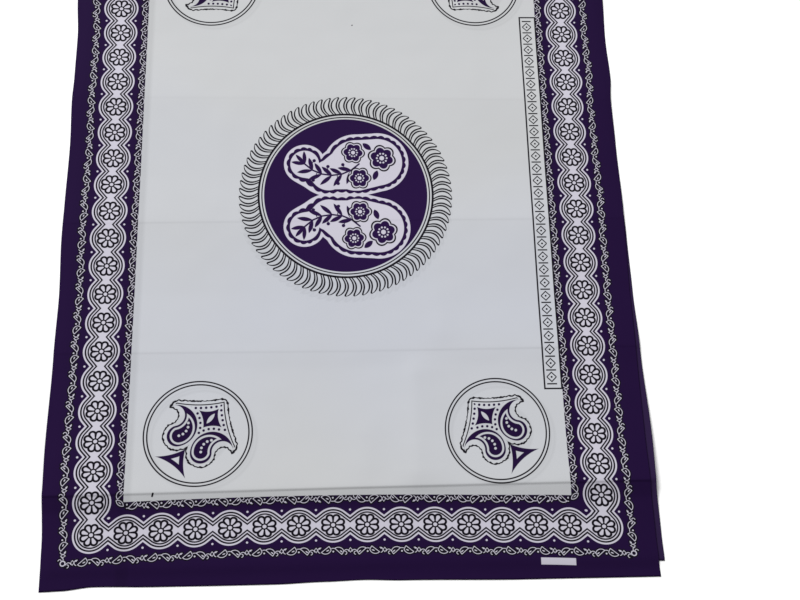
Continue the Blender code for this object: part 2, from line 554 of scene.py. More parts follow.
# %% What the mango holds
Bloom = namedtuple("Bloom", "x y size turn")
BLOOMS = (Bloom(0.25, 1.45, 1.0, 0.1), Bloom(1.20, 1.25, 1.2, 0.3), Bloom(0.45, 0.55, 1.0, 0.0))
BLOOM_CLEAR = 0.37  # the ground that is left free round a bloom
LOBE = 0.072
LOBED_EDGE, LOBED_RIM = 0.245, 0.306
BLOOM_BEADS = (10, 0.135, 0.026)  # how many, the radius of their ring, and their own radius
BLOOM_LEAVES = (radians(140.0), radians(250.0))  # where leaves grow out of the biggest bloom
BLOOM_LEAF = (0.46, 0.36, 0.09)  # where it starts, its length and half its width
STEM = (-0.45, 1.85, 1.20)  # the circle that the stem bends along: x, y and radius
STEM_TIP = radians(-138.0)  # where on that circle the stem ends, and its leaves begin
STEM_LINE = 0.028
LEAF_STEP = radians(16.0)
INWARD = (radians(42.0), 0.46)  # how far a leaf turns off the stem, and its length
OUTWARD = (radians(-40.0), 0.52)
LEAF_WIDTH = 0.07  # half of it
BERRY_TURN = radians(88.0)
TWIG = (0.30, 0.014)  # its length and half its width
BERRY = 0.058
LEAVES = 6
FAN = (radians(-38.0), 0.0, radians(38.0))  # the three leaves at the stem's end
FAN_LEAF = (0.46, 0.065)  # length and half width


def bloom(place, size, turn):
    """A six-lobed flower in a double rim, with a beaded ring round its middle: purple, then black."""
    x, y = parts_of(place)
    angle = math_node("ARCTAN2", y, x)
    lobe = abs(math_node("COSINE", angle * 3.0 + 3.0 * turn))
    out = distance(place, 0.0, 0.0) * (1 / size)
    rim = out - lobe * LOBE
    count, ring_radius, bead_radius = BLOOM_BEADS
    beads = bead_ring(place, count, ring_radius * size, bead_radius * size)
    middle = smallest(beads, out - 0.065)
    return largest(rim - LOBED_EDGE, -middle), line(rim - LOBED_RIM, 0.023)


def grown(root, turn, span):
    """Where a straight growth from its root ends."""
    return root[0] + span * cos(turn), root[1] + span * sin(turn)


def sprig(place):
    """A bent stem with pairs of leaves, and a berry on a twig between each two pairs, purple."""
    x, y, radius = STEM
    stem = [grown((x, y), STEM_TIP + LEAF_STEP / 2 * i, radius) for i in range(2 * LEAVES + 1)]
    shapes = [stroke(place, start, end, STEM_LINE) for start, end in zip(stem[::2], stem[2::2])]
    for turn in FAN:
        tip = grown(stem[0], STEM_TIP - pi / 2 + turn, FAN_LEAF[0])
        shapes.append(leaf(place, stem[0], tip, FAN_LEAF[1]))
    for i, root in enumerate(stem[1:-1], 1):
        along = STEM_TIP + LEAF_STEP / 2 * i - pi / 2
        if i % 2:
            turn = BERRY_TURN if i % 4 == 1 else -BERRY_TURN
            berry = grown(root, along - turn, TWIG[0])
            shapes += stroke(place, root, berry, TWIG[1]), disc(place, *berry, BERRY)
        else:
            for turn, span in (OUTWARD, INWARD):
                shapes.append(leaf(place, root, grown(root, along - turn, span), LEAF_WIDTH))
    start, span, half_width = BLOOM_LEAF
    for turn in BLOOM_LEAVES:
        root = grown(BLOOMS[1][:2], turn, start)
        shapes.append(leaf(place, root, grown(root, turn, span), half_width))
    return smallest(*shapes)


# %% The disc and its two mangoes
MANGO_SQUEEZE = 1.012  # how much the mangoes are squeezed across
BAND_OUTER, BAND_INNER = 0.125, 0.208  # where the scalloped band runs, inside the mango's edge
BAND_BULGE = 0.045
BAND_FLAT = (0.035, 0.145)  # where it runs between the two mangoes


def middle_motif(place):
    """Purple and black of the whole motif, with the origin at its middle."""
    x, y = parts_of(place)
    from_mirror = abs(y + MIRROR_LINE)
    half = place_at(x * MANGO_SQUEEZE, from_mirror - MIRROR_LINE)
    edge = mango(half)
    bulge = BAND_OUTER - scallops(half) * BAND_BULGE
    core = smallest(-BAND_INNER - edge, from_mirror - BAND_FLAT[1])
    band = largest(edge + bulge, bulge - BAND_FLAT[0] - from_mirror, core)
    inside = sprig(half)
    black = smallest(*(ring(place, 0.0, 0.0, radius, half_width) for radius, half_width in DISC_LINES))
    for row in BLOOMS:
        purple, rim = bloom(moved(half, row.x, row.y), row.size, row.turn)
        clear = disc(half, row.x, row.y, BLOOM_CLEAR * row.size)
        inside = smallest(largest(inside, -clear), purple)
        black = smallest(black, rim)
    purple = smallest(largest(disc(place, 0.0, 0.0, DISC_EDGE), -edge), band, inside)
    return purple, smallest(black, feather_ring(place))


# %% [markdown]
# ### The roundels
#
# Four roundels stand around the middle: two rings, and inside them an emblem with an axis that points to
# the middle of the cloth. It is the same on both sides of its axis, so the place is folded along it:
# `half` has the distance along the axis and the distance beside it. Its paisleys are the classic comma,
# made of half a disc and two discs of half its radius. Its kite, square and triangle have hollow sides,
# each an arc between two corners.

# %% The paisleys of the emblem
ROUNDEL_LINES = (1.615, 1.515)
AXIS = radians(52.0)
COMMA = (-0.20, 0.69)  # the middle of a paisley's big disc
COMMA_TURN = radians(-41.0)
COMMA_SIZE = 0.32
INNER_COMMA = (0.04, -0.08)  # the white comma inside it
INNER_SIZE = 0.24
INNER_LINE = 0.030
INNER_INSET = 0.09  # how far the white comma stays from the dark one's notch
COMMA_BEADS = tuple(radians(turn) for turn in (-90, -68, -46, -24, -2))
EMBLEM_BEAD = 0.040


def comma(place, size):
    """The classic paisley: half a disc, less a disc of half its radius, and another for its head."""
    half_disc = largest(disc(place, 0.0, 0.0, 2 * size), slope(place, -1.0, 0.0))
    return smallest(largest(half_disc, -disc(place, 0.0, size, size)), disc(place, 0.0, -size, size))


def comma_lining(drop):
    """The white line and beads inside a comma."""
    inner_drop = moved(drop, *INNER_COMMA)
    from_notch = disc(drop, 0.0, COMMA_SIZE, COMMA_SIZE)
    white = line(largest(comma(inner_drop, INNER_SIZE), INNER_INSET - from_notch), INNER_LINE)
    beads = [grown((0.0, 0.4 * INNER_SIZE), turn, 1.4 * INNER_SIZE) for turn in COMMA_BEADS]
    return smallest(white, *(disc(inner_drop, *bead, EMBLEM_BEAD) for bead in beads))


# %% Shapes with hollow sides
KITE_SIDE = ((1.22, 0.0), (0.36, 1.10), 0.07)  # two corners, and how far the side bows in
SQUARE_SIDE = ((0.97, 0.0), (0.56, 0.51), 0.08)
SQUARE_CLEAR = 0.82  # how far the square's back sides stay from the middle of a paisley
SQUARE_EYE = ((0.40, 0.0), (0.78, 0.0), 0.06)
TRIANGLE_SIDES = (((-0.58, 0.0), (-1.28, 0.58), 0.06), ((-1.28, 0.58), (-1.28, -0.58), 0.10))
TRIANGLE_LINE = 0.065
BEAD_SPACING = 0.155
SIDE_BEADS = (0.095, 1.10)  # how far inside the kite's side the row runs, and where it crosses the axis
BACK_BEADS = (0.73, 0.04)  # the same for the row round a paisley, as a radius
BEADS_END = 1.16


def hollow(place, start, end, depth):
    """What lies within a hollow side. The side runs round its shape with the inside on its left."""
    run, rise = end[0] - start[0], end[1] - start[1]
    span = hypot(run, rise)
    straight = slope(place, rise / span, -run / span, (start[1] * run - start[0] * rise) / span)
    return largest(straight, -disc(place, *bow(start, end, depth)))


def bead_row(place, x, y, radius, first_x):
    """Beads in even steps round a circle, counted from where it crosses the emblem's axis."""
    start = atan2(-y, first_x - x)
    return bead_ring(moved(place, x, y), 2 * pi * radius / BEAD_SPACING, radius, EMBLEM_BEAD, start)


def emblem_fill(half, kite, outer):
    """The square with its white eye, the triangle and the rows of beads."""
    square = largest(hollow(half, *SQUARE_SIDE), -disc(half, *COMMA, SQUARE_CLEAR))
    square = largest(square, slope(half, -1.0, 0.0, 0.1), -leaf(half, *SQUARE_EYE))
    triangle = largest(*(hollow(half, *side) for side in TRIANGLE_SIDES)) + TRIANGLE_LINE
    kite_x, kite_y, kite_radius = bow(*KITE_SIDE)
    side_row = bead_row(half, kite_x, kite_y, kite_radius + SIDE_BEADS[0], SIDE_BEADS[1])
    rows = largest(side_row, 0.08 - outer)
    rows = smallest(rows, largest(bead_row(half, *COMMA, *BACK_BEADS), kite + 0.20))
    rows = largest(rows, slope(half, -1.0, 0.0), disc(half, 0.0, 0.0, BEADS_END))
    return square, line(triangle, TRIANGLE_LINE), rows


# %% One roundel
HOOK = (-0.10, 0.34, 0.24)  # the disc that the wavy outline follows into a comma's hook
CROWN = (0.10, 0.0, 1.24)  # the disc that rounds the wavy outline's corners
KITE_END = (0.1, 0.0, 1.14)
OUTLINE_GAP = 0.115  # from the emblem to its wavy outline
OUTLINE_WOBBLE = 0.07
OUTLINE, KITE_LINE, ROUNDEL_LINE = 0.021, 0.017, 0.022  # half the width of each line


def ragged(place):
    """A small uneven wobble for a hand-cut line, from -0.5 to 0.5."""
    return noise_at(place, 11.0, 0.0) - 0.5


def roundel(place, lean):
    """Purple and black of a roundel, with the origin at its middle. Its emblem can lean a little."""
    rings = smallest(*(ring(place, 0.0, 0.0, radius, ROUNDEL_LINE) for radius in ROUNDEL_LINES))
    x, y = parts_of(place)
    along, beside = parts_of(turned(place_at(x, y + x * lean), AXIS))
    half = place_at(along, abs(beside))
    drop = turned(moved(half, *COMMA), COMMA_TURN)
    outer = comma(drop, COMMA_SIZE)
    kite = hollow(half, *KITE_SIDE)
    purple = smallest(largest(outer, -comma_lining(drop)), *emblem_fill(half, kite, outer))
    past_cut = slope(drop, -1.0, 0.0)
    kite = largest(kite, slope(half, -1.0, 0.0, -0.2), past_cut, disc(half, *KITE_END))
    back = largest(disc(drop, 0.0, 0.0, 2 * COMMA_SIZE), past_cut)
    body = rounded(smallest(kite, back, outer) - OUTLINE_GAP, -disc(drop, *HOOK), 0.10)
    body = rounded(body, disc(half, *CROWN), 0.22)
    edge = line(body + ragged(half) * OUTLINE_WOBBLE, OUTLINE)
    kite_line = largest(line(kite, KITE_LINE), slope(half, -1.0, 0.0, 0.3), 0.03 - outer)
    return purple, smallest(rings, kite_line, edge)


# %% [markdown]
# ### The panel, and the whole print
#
# A kanga carries a proverb. Here its long frame on one side holds a plain row of lozenges and bars
# instead, and the small label in the margin is left bare. The four roundels come from one drawing, by
# folding the place at the middle of the cloth both ways.

# %% The panel and the label
PANEL = (6.325, 10.802, 0.265, 6.589)  # the middle of the frame, and half its width and length
PANEL_LINE = 0.025
PANEL_REPEAT = 0.222
ORNAMENT_SHIFT = 0.03  # the ornament stands a little left of the frame's middle
ORNAMENT_AREA = (0.155, 0.125)  # half its width, and how far it stops before the frame's ends
LOZENGE = (0.150, 0.024)  # its reach and half the width of its line
BAR, DOT = 0.022, 0.032
LABEL = (6.092, -1.100, 0.516, 0.105)


def block(u, v, middle_u, middle_v, half_width, half_length):
    return largest(abs(u - middle_u) - half_width, abs(v - middle_v) - half_length)


def panel(u, v):
    """The frame and its ornament, black."""
    frame_line = line(block(u, v, *PANEL), PANEL_LINE)
    across = abs(u - PANEL[0] + ORNAMENT_SHIFT)
    repeat = folded(v - PANEL[1], PANEL_REPEAT)
    lozenge = line(across + repeat - LOZENGE[0], LOZENGE[1])
    bars = smallest(abs(repeat - PANEL_REPEAT) - BAR, length(across, repeat) - DOT)
    half_width, stop = ORNAMENT_AREA
    inside = largest(across - half_width, abs(v - PANEL[1]) - PANEL[3] + stop)
    return smallest(frame_line, largest(smallest(lozenge, bars), inside))


# %% The whole print
MIDDLE = (0.012, 10.794)
MIDDLE_STRETCH = 1.018
ROUNDEL = (4.500, 2.930)
ROUNDEL_STRETCH = 1.022
ROUNDEL_MIDDLE = 10.816
RIGHT_SHIFT = (0.016, 0.03)  # how much further out the right-hand roundels stand
RIGHT_WIDER = 0.018
RIGHT_LEAN = 0.06
TICKS = (  # stray marks of the printing: start, end and half width
    ((-5.775, 1.035), (-5.755, 1.115), 0.028),
    ((0.285, 17.06), (0.290, 17.07), 0.020),
)
SOFT_EDGE = 0.012  # how far the ink bleeds at its edges, in flowers


def ink(amount):
    """A distance as a mask: 1 inside, 0 outside, with a soft edge."""
    return math_node("MULTIPLY_ADD", amount, -1 / SOFT_EDGE, 0.5, clamp=True)


def kanga_print(u, v):
    """Masks of the purple ink, the black ink, the ground that they tint, and the disc in the middle."""
    purple, black, tinted = border(u, v)
    middle = place_at(u - MIDDLE[0], (v - MIDDLE[1]) * (1 / MIDDLE_STRETCH))
    middle_purple, middle_black = middle_motif(middle)
    right = math_node("GREATER_THAN", u, 0.0)
    corner_u = (ROUNDEL[0] + right * RIGHT_SHIFT[0] - abs(u)) * (1.0 + right * RIGHT_WIDER)
    corner_v = ROUNDEL_MIDDLE - ROUNDEL[1] + right * RIGHT_SHIFT[1] - abs(v - ROUNDEL_MIDDLE)
    corner = place_at(corner_u, corner_v * (1 / ROUNDEL_STRETCH))
    roundel_purple, roundel_black = roundel(corner, right * RIGHT_LEAN)
    purple = smallest(purple, middle_purple, roundel_purple)
    purple = largest(purple, -block(u, v, *LABEL))
    spot = place_at(u, v)
    marks = (stroke(spot, *tick) for tick in TICKS)
    black = smallest(black, middle_black, roundel_black, panel(u, v), *marks)
    whole_disc = disc(middle, 0.0, 0.0, DISC_EDGE)
    return ink(purple), ink(black), ink(smallest(tinted, whole_disc)), ink(whole_disc)


# %% [markdown]
# ## The form of the doubled cloth
#
# The pair was kept folded small, so it is crossed by pressed creases: five across, and a few shorter
# ones along it. A crease lifts both layers in a rounded ridge that falls away in a hollow curve. Where
# the upper half runs past the half under it, it droops to the table.

# %% Creases across
def ridge_height(station, x):
    lift = 0.0
    for crease in CREASES:
        away = station - crease_station(crease, x)
        reach = (crease.near_reach if away < 0 else crease.far_reach) * MM
        softened = hypot(away, CREASE_ROUNDING) - CREASE_ROUNDING
        flank = max(0.0, 1.0 - softened / reach) ** CREASE_POWER
        lift += crease.height * MM * across_three(crease.shares, x) * flank
    return lift


# On its near side each crease has a small step down, and the first one then falls steeply for a short
# way. A row is the step's drop and the steep fall after it, in millimetres.
STEPS = ((1.0, 3.3), (0.32, 0.0), (0.22, 0.0), (0.08, 0.0), (0.20, 0.0))
STEP_FROM = 1.2 * MM
STEP_WIDTH = 3.5 * MM
FALL_WIDTH = 30.0 * MM


def step_depth(station, x):
    depth = 0.0
    for crease, (drop, fall) in zip(CREASES, STEPS):
        below = crease_station(crease, x) - STEP_FROM - station
        if 0.0 < below < crease.near_reach * MM:
            stepped = drop * across_three(crease.shares, x) * soft_step(below / STEP_WIDTH)
            fallen = fall * min(below / FALL_WIDTH, 1.0)
            evened = soft_step((below - FALL_WIDTH) / (crease.near_reach * MM - FALL_WIDTH))
            depth += (stepped + fallen) * MM * (1 - evened)
    return depth


# %% Creases along, and slow waves
# Each one runs between two stations, and each of its flanks has its own reach.
Along = namedtuple("Along", "x start end height left_reach right_reach")
ALONGS = (
    Along(125.0, 150.0, 430.0, 2.0, 60.0, 110.0),
    Along(30.0, 160.0, 310.0, 0.6, 60.0, 40.0),
    Along(178.0, 420.0, 590.0, 0.7, 50.0, 90.0),
    Along(-2.0, 1130.0, 1475.0, 0.7, 90.0, 50.0),
    Along(-250.0, 700.0, 960.0, 0.5, 60.0, 60.0),
    Along(270.0, 960.0, 1220.0, 0.5, 70.0, 50.0),
)
ALONG_FADE = 50.0  # millimetres in which each one starts and stops
ALONG_ROUNDING = 2.0


def along_height(station, x):
    lift = 0.0
    at = station / MM
    for fold in ALONGS:
        in_and_out = soft_step((at - fold.start) / ALONG_FADE) * soft_step((fold.end - at) / ALONG_FADE)
        if in_and_out > 0.0:
            away = x / MM - fold.x
            reach = fold.left_reach if away < 0 else fold.right_reach
            flank = max(0.0, 1.0 - (hypot(away, ALONG_ROUNDING) - ALONG_ROUNDING) / reach)
            lift += fold.height * MM * in_and_out * flank * flank
    return lift


WAVE = 0.35 * MM


def waves(station, x):
    """Slow unevenness, as in any cloth that was smoothed out by hand."""
    slow = noise.noise(Vector((x * 7, station * 9, 0.3)))
    return WAVE * (slow + 0.5 * noise.noise(Vector((x * 19, station * 23, 4.1))))


print(f"highest crease: {max(ridge_height(s * MM, 0.0) for s in range(0, 1490)) / MM:.1f} mm")

# %% How the upper half lies
DROOP = 14.0 * MM  # the stretch in which the upper half comes down past an edge of the half under it
UPPER_REST = 1.6 * MM  # how high the upper half's underside lies on the other half


def lying_on(station, x):
    """1 where the upper half has the other under it, 0 where it has come down to the table."""
    right = eased(SIDES, "under_right", station)
    near = eased(ENDS, "under_end", x)
    inside = soft_step((x - UNDER_LEFT + DROOP / 2) / DROOP) * soft_step((right - x + DROOP / 2) / DROOP)
    return inside * soft_step((station - near + DROOP) / (1.5 * DROOP))


FOLD_LOOP = 1.7 * MM  # radius of the turned fold, to the middle of the cotton
UNDER_MIDDLE = COTTON / 2
FOLD_HEIGHT = UNDER_MIDDLE + FOLD_LOOP


def fold_lift(station):
    climbed = (station - FOLD_CENTRE + FOLD_RISE) / FOLD_RISE
    return (FOLD_HEIGHT + FOLD_LOOP - COTTON / 2 - UPPER_REST) * soft_step(climbed)


def upper_height(station, x):
    """Height of the underside of the upper half."""
    form = ridge_height(station, x) - step_depth(station, x) + along_height(station, x)
    over = lying_on(station, x)
    return form + over * (UPPER_REST + waves(station, x)) + fold_lift(station)


# %% [markdown]
# ## Where the print lies on the cloth
#
# The print has its own measures, in flowers of the border: u from its middle line to the right, and v
# from the near row of flowers. Cotton is pulled a little askew when it is printed and washed, so the
# near rows bow outwards, and the print follows the wavy side edges.

# %% From the cloth to the print
FLOWER = 61.3 * MM
ROW = 57.0 * MM  # one flower on the long sides
NEAR_ROW = 88.35 * MM
BOW = (0.279, 1.62, 1.31)  # how far the near rows bow, the row where half is left, and how fast it fades
ASKEW = (0.0075, 0.6, 2.4)  # their turn for each flower, the row where it starts to fade, and how slowly
ASKEW_RIGHT = (3.5, 3.0)  # where it starts to fade to the right, and over how far
SQUASH = 0.04  # how much the near row of flowers is pressed flat
SQUASH_FADE = (0.4, 0.5)
NEAR_SHIFT = (0.015, 0.0025)  # how far right the near rows stand, and how much more for each flower
EVEN_SIDE = (-8.93, 9.03)  # where the cloth's edges would be if they ran straight
EDGE_FROM = 6.6
ROUNDS = 12  # of guessing the row that the bow brings to a place


def print_place(station, x, left, right):
    """(u, v) of a place on the cloth whose side edges are at left and right."""
    u = x / FLOWER
    edge, even = (left, EVEN_SIDE[0]) if u < 0 else (right, EVEN_SIDE[1])
    u += (even - edge / FLOWER) * soft_step((abs(u) - EDGE_FROM) / (abs(even) - EDGE_FROM))
    rows = (station - NEAR_ROW) / ROW
    flat = rows
    for _ in range(ROUNDS):
        flat = rows - BOW[0] * (1 - (u / CHAIN_SIDE) ** 2) / (1 + exp((flat - BOW[1]) / BOW[2]))
    nearness = 1 - soft_step((rows - ASKEW[1]) / ASKEW[2])
    leftness = 1 - soft_step((u - ASKEW_RIGHT[0]) / ASKEW_RIGHT[1])
    v = (flat + ASKEW[0] * u * leftness * nearness) * PITCH_RATIO
    v += SQUASH * v * (1 - soft_step((v - SQUASH_FADE[0]) / SQUASH_FADE[1]))
    return u - (NEAR_SHIFT[0] + NEAR_SHIFT[1] * u) * nearness, v


print("the middle of the upper half is at print place",
      [round(c, 2) for c in print_place(0.745, 0.0, -0.55, 0.55)])

# %% [markdown]
# ## Making the cloth
#
# Each half is a real layer of cotton, half a millimetre thick. It starts as one flat grid, whose rows
# lie close together at the creases. The grid is bent to the form, and its whole face is then extruded
# upwards to give it a thickness. Every vertex remembers its place on the print and its share of the way
# across and along, which become the two UV maps: one that the print reads, and one that lays the whole
# cloth out without overlaps.

# %% Rows and columns
CREASE_BAND = 20.0 * MM
EDGE_COLUMN = 1.5 * MM


def spread(low, high, step):
    """Places from low to just before high, evenly spaced at about a step."""
    count = max(1, round((high - low) / step))
    return [low + (high - low) * i / count for i in range(count)]


def near_rows(near, first):
    """Four rows from the near edge of a column to the first row that all columns share."""
    return [near + (first - near) * i / 4 for i in range(4)]


def rows_between(start, end, fine, coarse):
    """Stations from start to end, fine at the creases and coarse between them."""
    rows = []
    at = start
    for crease in CREASES:
        middle = crease.middle * MM
        rows += spread(at, middle - CREASE_BAND, coarse)
        rows += spread(middle - CREASE_BAND, middle + CREASE_BAND, fine)
        at = middle + CREASE_BAND
    return rows + spread(at, end, coarse) + [end]


def columns_between(left, right, step, rim):
    """Shares of the way across, with a few close columns at both edges."""
    width = right - left
    inner = spread(rim, width - rim, step) + [width - rim]
    return [place / width for place in (0.0, EDGE_COLUMN, *inner, width - EDGE_COLUMN, width)]


UPPER_COLUMNS = columns_between(-0.55, 0.555, 9.5 * MM, 6 * MM)
UPPER_ROWS = rows_between(12 * MM, FOLD_CENTRE - 12 * MM, 1.6 * MM, 5.6 * MM)
print(f"the upper half is a grid of {len(UPPER_COLUMNS)} by {len(UPPER_ROWS)}")

# %% A sheet from a table of points
Point = namedtuple("Point", "across station z u v")
FACE_GAP = 0.01  # between the top and the underside in the second UV map
RIM_START, RIM_STEP, RIM_WIDTH = 0.985, 0.004, 0.0025  # the strips of the rims there


def bent_grid(lines):
    """A grid with a column for each line of Points, still without thickness."""
    columns, rows = len(lines), len(lines[0])
    sheet = bmesh.new()
    bmesh.ops.create_grid(sheet, x_segments=columns - 1, y_segments=rows - 1, size=1.0)
    on_print = sheet.verts.layers.float_vector.new("on_print")
    share = sheet.verts.layers.float_vector.new("share")
    for vertex in sheet.verts:
        i = round((vertex.co.x + 1) / 2 * (columns - 1))
        j = round((vertex.co.y + 1) / 2 * (rows - 1))
        point = lines[i][j]
        vertex.co = (point.across - CENTRE_X, point.station - CENTRE_Y, point.z)
        vertex[on_print] = (point.u, point.v, 0.0)
        vertex[share] = (i / (columns - 1), j / (rows - 1), 0.0)
    return sheet


def lay_out(vertex, share, kind, widths):
    """The place of a vertex in the second UV map: top face, underside, or one of four rims."""
    across, along, top = vertex[share]
    top_width, under_width = widths
    if kind == "top":
        return across * top_width, along
    if kind == "under":
        return top_width + FACE_GAP + across * under_width, along
    strip = ("left", "right", "near", "far").index(kind)
    return RIM_START + strip * RIM_STEP + top * RIM_WIDTH, across if strip > 1 else along


def rim_side(face, share):
    shares = [vertex[share] for vertex in face.verts]
    if all(s[0] < 1e-6 for s in shares):
        return "left"
    if all(s[0] > 1 - 1e-6 for s in shares):
        return "right"
    return "near" if all(s[1] < 1e-6 for s in shares) else "far"


def cotton_layer(name, lines, widths):
    """A bent grid extruded along its normals, with both UV maps. The widths are its two faces' there."""
    sheet = bent_grid(lines)
    sheet.normal_update()
    flat_faces = sheet.faces[:]
    bottoms = set(flat_faces)
    lift = {tuple(vertex.co): vertex.normal * COTTON for vertex in sheet.verts}
    share = sheet.verts.layers.float_vector["share"]
    on_print = sheet.verts.layers.float_vector["on_print"]
    skirt = bmesh.ops.extrude_face_region(sheet, geom=flat_faces)["geom"]
    tops = {item for item in skirt if isinstance(item, bmesh.types.BMFace)}
    for vertex in (item for item in skirt if isinstance(item, bmesh.types.BMVert)):
        vertex.co = vertex.co + lift[tuple(vertex.co)]
        vertex[share].z = 1.0
    bmesh.ops.recalc_face_normals(sheet, faces=sheet.faces[:])
    print_map = sheet.loops.layers.uv.new("print")
    bake_map = sheet.loops.layers.uv.new("OFBake")
    for face in sheet.faces:
        kind = "top" if face in tops else "under" if face in bottoms else rim_side(face, share)
        for loop in face.loops:
            loop[print_map].uv = loop.vert[on_print].xy
            loop[bake_map].uv = lay_out(loop.vert, share, kind, widths)
    mesh = bpy.data.meshes.new(name)
    sheet.to_mesh(mesh)
    sheet.free()
    mesh.shade_smooth()
    piece = bpy.data.objects.new(name, mesh)
    bpy.context.scene.collection.objects.link(piece)
    return piece


# %% [markdown]
# ### The upper half
#
# The upper half carries the print that shows. At the far end the cotton turns over in a loop and runs
# back to meet the half under it, so the fold is a rounded edge and not a cut one.

# %% Points of the upper half
FOLD_STEPS = 10
NEAR_LEFT, NEAR_WIDTH = -0.55, 1.105


def upper_line(share):
    """All the points of one column, from the near edge, over the fold, to the seam under it."""
    line_of_points = []

    def add(station, z, path):
        left, right = eased(SIDES, "upper_left", station), eased(SIDES, "upper_right", station)
        x = left + (right - left) * share
        line_of_points.append(Point(x, station, z(station, x), *print_place(path, x, left, right)))

    near = eased(ENDS, "upper_end", NEAR_LEFT + NEAR_WIDTH * share)
    for station in near_rows(near, UPPER_ROWS[0]) + UPPER_ROWS:
        add(station, upper_height, station)
    for station in (FOLD_CENTRE - 8 * MM, FOLD_CENTRE - 4 * MM, FOLD_CENTRE):
        add(station, upper_height, station)
    for step in range(1, FOLD_STEPS + 1):
        turn = pi * step / FOLD_STEPS
        inner = FOLD_LOOP - COTTON / 2
        z = FOLD_HEIGHT + inner * cos(turn)
        add(FOLD_CENTRE + inner * sin(turn), lambda s, x, z=z: z, FOLD_CENTRE + FOLD_LOOP * turn)
    for back in (2 * MM, 4 * MM):
        add(FOLD_CENTRE - back, lambda s, x: COTTON, FOLD_CENTRE + pi * FOLD_LOOP + back)
    return line_of_points


upper = cotton_layer("kanga_upper", [upper_line(share) for share in UPPER_COLUMNS], (0.86, 0.11))
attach(upper, "root")
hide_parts("kanga_upper_length")
width, depth = upper.dimensions.xy
print(f"upper half: {len(upper.data.polygons)} faces, {width:.3f} x {depth:.3f} m")

# %% [markdown]
# ### The half under it
#
# The other kanga of the pair lies face down beneath, so it turns the wrong side of its print up. It was
# pushed over a little to the right, and shows as a narrow strip along that edge. It lies on the table
# between the creases.

# %% Points of the under half
UNDER_WIDTH = 1.1
UNDER_LAST = FOLD_CENTRE - 4 * MM - LAYER_GAP
UNDER_COLUMNS = columns_between(-0.538, 0.56, 18 * MM, 6 * MM)
UNDER_ROWS = rows_between(45 * MM, UNDER_LAST, 3.2 * MM, 11 * MM)
UNDER_LOWER = 0.3 * MM  # how much lower its ridges are than the form that both halves follow


def under_line(share):
    points = []
    near = eased(ENDS, "under_end", UNDER_LEFT + UNDER_WIDTH * share)
    for station in near_rows(near, UNDER_ROWS[0]) + UNDER_ROWS:
        right = eased(SIDES, "under_right", station)
        x = UNDER_LEFT + (right - UNDER_LEFT) * share
        z = max(0.0, ridge_height(station, x) - step_depth(station, x) - UNDER_LOWER)
        u, v = print_place(HALF_LENGTH - station, x, UNDER_LEFT, right)
        points.append(Point(x, station, z, u, v))
    return points


# Its printed face is its underside, which gets the larger width in the second UV map.
under = cotton_layer("kanga_under", [under_line(share) for share in UNDER_COLUMNS], (0.18, 0.75))
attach(under, "root")
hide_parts("kanga_under_length")
lowest = min(vertex.co.z for vertex in under.data.vertices)
print(f"under half: {len(under.data.polygons)} faces, lowest point {lowest:.4f} m")

# %% [markdown]
# ## The cotton and its inks
#
# The print is one node group: two numbers in, and four masks out. They are the purple ink, the black
# ink, the ground between the inks, and the middle disc, whose purple is a little brighter. A second
# group is the print of the half below, which shows through. A third one gives the weave: plain cotton is
# a square mesh of threads under half a millimetre apart, which shows as a fine grain. The last gives
# slow differences of tone, because dyed cotton is never quite even, and adds painted light too: a
# painted shade that darkens the near end, and a painted cool cast of the light a little nearer than the
# middle.

# %% A node group with named sockets
def node_group(name, inputs, outputs):
    """An empty group, and its inputs as Amounts."""
    tree = bpy.data.node_groups.new(name, "ShaderNodeTree")
    for socket_name, kind, value in inputs:
        socket = tree.interface.new_socket(socket_name, in_out="INPUT", socket_type=kind)
        if value is not None:
            socket.default_value = value
    for socket_name, kind in outputs:
        tree.interface.new_socket(socket_name, in_out="OUTPUT", socket_type=kind)
    entry = tree.nodes.new("NodeGroupInput")
    return tree, [Amount(socket) for socket in entry.outputs[: len(inputs)]]


def finish_group(tree, *results):
    """Wire the results to the group's outputs, in their order."""
    leave = tree.nodes.new("NodeGroupOutput")
    for socket, value in zip(leave.inputs, results):
        wire(socket, value)
    print(f"group {tree.name}: {len(tree.nodes)} nodes")


FLOAT = "NodeSocketFloat"
VECTOR = "NodeSocketVector"
print_group, (u_in, v_in) = node_group(
    "kanga print",
    (("Across", FLOAT, 0.0), ("Along", FLOAT, 0.0)),
    (("Purple", FLOAT), ("Black", FLOAT), ("Tinted", FLOAT), ("Disc", FLOAT)),
)
finish_group(print_group, *kanga_print(u_in, v_in))

# %% The show-through of the half below
# The print of the half under this one is seen very faintly through the white cotton.
ghost_group, (u_in, v_in) = node_group(
    "show-through", (("Across", FLOAT, 0.0), ("Along", FLOAT, 0.0)), (("Shade", FLOAT),)
)
GHOST_SHIFT = (0.13, -0.16)
GHOST_LINE = 0.02
GHOST_EMBLEM = (-0.1, 0.05, 0.85)
GHOST_STRIPE = (6.40, 6.75)  # how far left of the middle the panel of the half below starts and ends
GHOST_BLUR = 0.12
shifted_u = abs(u_in - GHOST_SHIFT[0])
shifted_v = abs(v_in - GHOST_SHIFT[1] - ROUNDEL_MIDDLE)
ghost_corner = place_at(ROUNDEL[0] - shifted_u, ROUNDEL_MIDDLE - ROUNDEL[1] - shifted_v)
ghost = smallest(*(ring(ghost_corner, 0.0, 0.0, radius, GHOST_LINE) for radius in ROUNDEL_LINES))
ghost_emblem = math_node("MAXIMUM", disc(ghost_corner, *GHOST_EMBLEM), -0.02)
ghost_middle = place_at(u_in - MIDDLE[0], v_in - MIDDLE[1] - 1.5 * GHOST_SHIFT[1])
stripe = largest(u_in + GHOST_STRIPE[0], -GHOST_STRIPE[1] - u_in)
ghost = smallest(ghost, ghost_emblem, feather_ring(ghost_middle), stripe)
